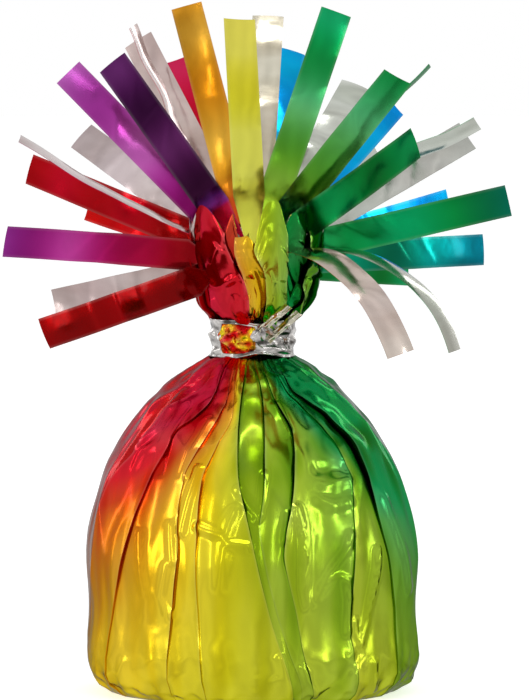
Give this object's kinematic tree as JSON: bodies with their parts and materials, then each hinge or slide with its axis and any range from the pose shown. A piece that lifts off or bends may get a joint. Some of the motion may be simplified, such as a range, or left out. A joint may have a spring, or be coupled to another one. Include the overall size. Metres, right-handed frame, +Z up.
{
  "type": "foil balloon weight",
  "caption": "Domed table weight wrapped in gathered metallised film, with a twist tie at the neck and a fan of fringe strips above it; holds balloon ribbons down.",
  "frame": {"origin": "on the table under the middle of the weight, at the flat foot", "axes": "+Z up through the neck to the plume, -Y towards the front, where the tie's ends stick out"},
  "size_m": [0.102, 0.0858, 0.1392],
  "materials": {
    "printed_film": "polished",
    "silver_film": "polished",
    "tie_wire": "satin",
    "plaster": "matte"
  },
  "bodies": {
    "wrapped_weight": {"weight_core": "plaster", "foil_skirt": "printed_film", "foil_head": "printed_film", "tie_wire": "tie_wire", "tie_band": "silver_film", "tie_twist": "silver_film"},
    "fringe_front_1": {"fringe_front_1": "printed_film"},
    "fringe_front_2": {"fringe_front_2": "printed_film"},
    "fringe_front_3": {"fringe_front_3": "printed_film"},
    "fringe_front_4": {"fringe_front_4": "printed_film"},
    "fringe_front_5": {"fringe_front_5": "printed_film"},
    "fringe_front_6": {"fringe_front_6": "printed_film"},
    "fringe_front_7": {"fringe_front_7": "printed_film"},
    "fringe_front_8": {"fringe_front_8": "printed_film"},
    "fringe_middle_1": {"fringe_middle_1": "printed_film"},
    "fringe_middle_2": {"fringe_middle_2": "printed_film"},
    "fringe_middle_3": {"fringe_middle_3": "printed_film"},
    "fringe_middle_4": {"fringe_middle_4": "printed_film"},
    "fringe_middle_5": {"fringe_middle_5": "printed_film"},
    "fringe_middle_6": {"fringe_middle_6": "printed_film"},
    "fringe_middle_7": {"fringe_middle_7": "printed_film"},
    "fringe_middle_8": {"fringe_middle_8": "printed_film"},
    "fringe_back_1": {"fringe_back_1": "printed_film"},
    "fringe_back_2": {"fringe_back_2": "printed_film"},
    "fringe_back_3": {"fringe_back_3": "printed_film"},
    "fringe_back_4": {"fringe_back_4": "printed_film"},
    "fringe_back_5": {"fringe_back_5": "printed_film"},
    "fringe_back_6": {"fringe_back_6": "printed_film"},
    "fringe_back_7": {"fringe_back_7": "printed_film"},
    "fringe_back_8": {"fringe_back_8": "printed_film"},
    "fringe_back_9": {"fringe_back_9": "printed_film"},
    "fringe_back_10": {"fringe_back_10": "printed_film"},
    "fringe_back_11": {"fringe_back_11": "printed_film"},
    "fringe_back_12": {"fringe_back_12": "printed_film"},
    "fringe_back_13": {"fringe_back_13": "printed_film"},
    "fringe_rear_1": {"fringe_rear_1": "printed_film"},
    "fringe_rear_2": {"fringe_rear_2": "printed_film"},
    "fringe_rear_3": {"fringe_rear_3": "printed_film"},
    "fringe_rear_4": {"fringe_rear_4": "printed_film"},
    "fringe_rear_5": {"fringe_rear_5": "printed_film"},
    "fringe_rear_6": {"fringe_rear_6": "printed_film"},
    "fringe_rear_7": {"fringe_rear_7": "printed_film"},
    "fringe_rear_8": {"fringe_rear_8": "printed_film"},
    "tie_end_upper": {"tie_end_upper": "silver_film"},
    "tie_end_lower": {"tie_end_lower": "silver_film"}
  },
  "joints": [
    {"name": "fringe_front_1_bend", "type": "hinge", "parent": "wrapped_weight", "child": "fringe_front_1", "pos_m": [-0.01141, -0.00721, 0.08329], "axis": [-0.3742, 0.1193, 0.9197], "range_deg": [-8, 16], "stiffness_Nm_per_rad": 0.0004},
    {"name": "fringe_front_2_bend", "type": "hinge", "parent": "wrapped_weight", "child": "fringe_front_2", "pos_m": [-0.01324, -0.00433, 0.08839], "axis": [0.1361, -0.0994, 0.9857], "range_deg": [-8, 16], "stiffness_Nm_per_rad": 0.0004},
    {"name": "fringe_front_3_bend", "type": "hinge", "parent": "wrapped_weight", "child": "fringe_front_3", "pos_m": [-0.0075, -0.00456, 0.09791], "axis": [0.8241, 0, 0.5664], "range_deg": [-8, 16], "stiffness_Nm_per_rad": 0.0004},
    {"name": "fringe_front_4_bend", "type": "hinge", "parent": "wrapped_weight", "child": "fringe_front_4", "pos_m": [-0.00069, -0.00456, 0.10022], "axis": [0.9986, 0, 0.0523], "range_deg": [-8, 16], "stiffness_Nm_per_rad": 0.0004},
    {"name": "fringe_front_5_bend", "type": "hinge", "parent": "wrapped_weight", "child": "fringe_front_5", "pos_m": [0.00781, -0.00524, 0.09737], "axis": [0.8124, 0.0647, -0.5795], "range_deg": [-8, 16], "stiffness_Nm_per_rad": 0.0004},
    {"name": "fringe_front_6_bend", "type": "hinge", "parent": "wrapped_weight", "child": "fringe_front_6", "pos_m": [0.00916, -0.00803, 0.0939], "axis": [0.5131, -0.1422, -0.8464], "range_deg": [-8, 16], "stiffness_Nm_per_rad": 0.0004},
    {"name": "fringe_front_7_bend", "type": "hinge", "parent": "wrapped_weight", "child": "fringe_front_7", "pos_m": [0.00787, -0.01133, 0.08941], "axis": [0.7737, 0.5878, 0.2365], "range_deg": [-8, 16], "stiffness_Nm_per_rad": 0.0004},
    {"name": "fringe_front_8_bend", "type": "hinge", "parent": "wrapped_weight", "child": "fringe_front_8", "pos_m": [0.0126, -0.00569, 0.08922], "axis": [0.4006, 0.9135, 0.0706], "range_deg": [-8, 16], "stiffness_Nm_per_rad": 0.0004},
    {"name": "fringe_middle_1_bend", "type": "hinge", "parent": "wrapped_weight", "child": "fringe_middle_1", "pos_m": [-0.01267, -0.00073, 0.09291], "axis": [-0.003, 0.9932, 0.1167], "range_deg": [-8, 8], "stiffness_Nm_per_rad": 0.0004},
    {"name": "fringe_middle_2_bend", "type": "hinge", "parent": "wrapped_weight", "child": "fringe_middle_2", "pos_m": [-0.00981, 0, 0.09699], "axis": [0.7133, 0, 0.7009], "range_deg": [-8, 8], "stiffness_Nm_per_rad": 0.0004},
    {"name": "fringe_middle_3_bend", "type": "hinge", "parent": "wrapped_weight", "child": "fringe_middle_3", "pos_m": [-0.00689, -0.00049, 0.09918], "axis": [0.0436, 0.997, 0.0647], "range_deg": [-8, 8], "stiffness_Nm_per_rad": 0.0004},
    {"name": "fringe_middle_4_bend", "type": "hinge", "parent": "wrapped_weight", "child": "fringe_middle_4", "pos_m": [-0.0035, 0, 0.10055], "axis": [0.9681, 0, 0.2504], "range_deg": [-8, 8], "stiffness_Nm_per_rad": 0.0004},
    {"name": "fringe_middle_5_bend", "type": "hinge", "parent": "wrapped_weight", "child": "fringe_middle_5", "pos_m": [0.00444, -0.00049, 0.10027], "axis": [0.9483, 0, -0.3173], "range_deg": [-8, 8], "stiffness_Nm_per_rad": 0.0004},
    {"name": "fringe_middle_6_bend", "type": "hinge", "parent": "wrapped_weight", "child": "fringe_middle_6", "pos_m": [0.00899, -0.00049, 0.09772], "axis": [0.0492, 0.9988, 0.0043], "range_deg": [-8, 8], "stiffness_Nm_per_rad": 0.0004},
    {"name": "fringe_middle_7_bend", "type": "hinge", "parent": "wrapped_weight", "child": "fringe_middle_7", "pos_m": [0.01161, 0, 0.09483], "axis": [0.2625, 0.8829, -0.3892], "range_deg": [-8, 8], "stiffness_Nm_per_rad": 0.0004},
    {"name": "fringe_middle_8_bend", "type": "hinge", "parent": "wrapped_weight", "child": "fringe_middle_8", "pos_m": [0.01359, -0.00073, 0.09026], "axis": [0.2334, 0, -0.9724], "range_deg": [-8, 8], "stiffness_Nm_per_rad": 0.0004},
    {"name": "fringe_back_1_bend", "type": "hinge", "parent": "wrapped_weight", "child": "fringe_back_1", "pos_m": [-0.01121, 0.00783, 0.084], "axis": [-0.2588, 0, 0.9659], "range_deg": [-8, 8], "stiffness_Nm_per_rad": 0.0004},
    {"name": "fringe_back_2_bend", "type": "hinge", "parent": "wrapped_weight", "child": "fringe_back_2", "pos_m": [-0.01228, 0.00479, 0.09172], "axis": [0.3584, 0, 0.9336], "range_deg": [-8, 8], "stiffness_Nm_per_rad": 0.0004},
    {"name": "fringe_back_3_bend", "type": "hinge", "parent": "wrapped_weight", "child": "fringe_back_3", "pos_m": [-0.00973, 0.00762, 0.09357], "axis": [0.5592, 0, 0.829], "range_deg": [-8, 8], "stiffness_Nm_per_rad": 0.0004},
    {"name": "fringe_back_4_bend", "type": "hinge", "parent": "wrapped_weight", "child": "fringe_back_4", "pos_m": [-0.00628, 0.00409, 0.09882], "axis": [0.8829, 0, 0.4695], "range_deg": [-8, 8], "stiffness_Nm_per_rad": 0.0004},
    {"name": "fringe_back_5_bend", "type": "hinge", "parent": "wrapped_weight", "child": "fringe_back_5", "pos_m": [-0.00449, 0.00762, 0.09785], "axis": [0.9239, 0, 0.3827], "range_deg": [-8, 8], "stiffness_Nm_per_rad": 0.0004},
    {"name": "fringe_back_6_bend", "type": "hinge", "parent": "wrapped_weight", "child": "fringe_back_6", "pos_m": [-0.00267, 0.00409, 0.10012], "axis": [0.1265, 0.954, -0.2719], "range_deg": [-8, 8], "stiffness_Nm_per_rad": 0.0004},
    {"name": "fringe_back_7_bend", "type": "hinge", "parent": "wrapped_weight", "child": "fringe_back_7", "pos_m": [0.00086, 0.00433, 0.10029], "axis": [0.9979, 0, -0.0645], "range_deg": [-8, 8], "stiffness_Nm_per_rad": 0.0004},
    {"name": "fringe_back_8_bend", "type": "hinge", "parent": "wrapped_weight", "child": "fringe_back_8", "pos_m": [0.00214, 0.00762, 0.09854], "axis": [0.9833, 0, -0.1822], "range_deg": [-8, 8], "stiffness_Nm_per_rad": 0.0004},
    {"name": "fringe_back_9_bend", "type": "hinge", "parent": "wrapped_weight", "child": "fringe_back_9", "pos_m": [0.00705, 0.00409, 0.09838], "axis": [0.8499, 0, -0.527], "range_deg": [-8, 8], "stiffness_Nm_per_rad": 0.0004},
    {"name": "fringe_back_10_bend", "type": "hinge", "parent": "wrapped_weight", "child": "fringe_back_10", "pos_m": [0.00808, 0.00762, 0.09552], "axis": [0.7254, 0, -0.6884], "range_deg": [-8, 8], "stiffness_Nm_per_rad": 0.0004},
    {"name": "fringe_back_11_bend", "type": "hinge", "parent": "wrapped_weight", "child": "fringe_back_11", "pos_m": [0.01169, 0.00409, 0.09353], "axis": [0.4879, 0, -0.8729], "range_deg": [-8, 8], "stiffness_Nm_per_rad": 0.0004},
    {"name": "fringe_back_12_bend", "type": "hinge", "parent": "wrapped_weight", "child": "fringe_back_12", "pos_m": [0.01129, 0.00783, 0.08971], "axis": [0.2334, 0, -0.9724], "range_deg": [-8, 8], "stiffness_Nm_per_rad": 0.0004},
    {"name": "fringe_back_13_bend", "type": "hinge", "parent": "wrapped_weight", "child": "fringe_back_13", "pos_m": [0.01279, 0.00569, 0.08722], "axis": [0.0175, 0, -0.9998], "range_deg": [-8, 8], "stiffness_Nm_per_rad": 0.0004},
    {"name": "fringe_rear_1_bend", "type": "hinge", "parent": "wrapped_weight", "child": "fringe_rear_1", "pos_m": [-0.00939, 0.01007, 0.08952], "axis": [0.2588, 0, 0.9659], "range_deg": [-6, 8], "stiffness_Nm_per_rad": 0.0004},
    {"name": "fringe_rear_2_bend", "type": "hinge", "parent": "wrapped_weight", "child": "fringe_rear_2", "pos_m": [-0.00548, 0.01073, 0.09414], "axis": [0.7934, 0, 0.6088], "range_deg": [-6, 8], "stiffness_Nm_per_rad": 0.0004},
    {"name": "fringe_rear_3_bend", "type": "hinge", "parent": "wrapped_weight", "child": "fringe_rear_3", "pos_m": [0.00069, 0.01088, 0.09578], "axis": [0.9969, 0, -0.0785], "range_deg": [-6, 8], "stiffness_Nm_per_rad": 0.0004},
    {"name": "fringe_rear_4_bend", "type": "hinge", "parent": "wrapped_weight", "child": "fringe_rear_4", "pos_m": [0.00724, 0.01057, 0.09266], "axis": [0.6157, 0, -0.788], "range_deg": [-6, 8], "stiffness_Nm_per_rad": 0.0004},
    {"name": "fringe_rear_5_bend", "type": "hinge", "parent": "wrapped_weight", "child": "fringe_rear_5", "pos_m": [0.00891, 0.01073, 0.08575], "axis": [-0.1392, 0, -0.9903], "range_deg": [-6, 8], "stiffness_Nm_per_rad": 0.0004},
    {"name": "fringe_rear_6_bend", "type": "hinge", "parent": "wrapped_weight", "child": "fringe_rear_6", "pos_m": [-0.00487, 0.01307, 0.08821], "axis": [0.2419, 0, 0.9703], "range_deg": [-6, 8], "stiffness_Nm_per_rad": 0.0004},
    {"name": "fringe_rear_7_bend", "type": "hinge", "parent": "wrapped_weight", "child": "fringe_rear_7", "pos_m": [-0.00017, 0.01316, 0.09179], "axis": [0.9994, 0, 0.0349], "range_deg": [-6, 8], "stiffness_Nm_per_rad": 0.0004},
    {"name": "fringe_rear_8_bend", "type": "hinge", "parent": "wrapped_weight", "child": "fringe_rear_8", "pos_m": [0.00477, 0.01307, 0.08855], "axis": [0.309, 0, -0.9511], "range_deg": [-6, 8], "stiffness_Nm_per_rad": 0.0004},
    {"name": "tie_end_upper_bend", "type": "hinge", "parent": "wrapped_weight", "child": "tie_end_upper", "pos_m": [0.00237, -0.01187, 0.07426], "axis": [0.6727, 0, -0.7399], "range_deg": [-15, 25]},
    {"name": "tie_end_lower_bend", "type": "hinge", "parent": "wrapped_weight", "child": "tie_end_lower", "pos_m": [0.00398, -0.01187, 0.07249], "axis": [0.6727, 0, -0.7399], "range_deg": [-15, 25]}
  ]
}
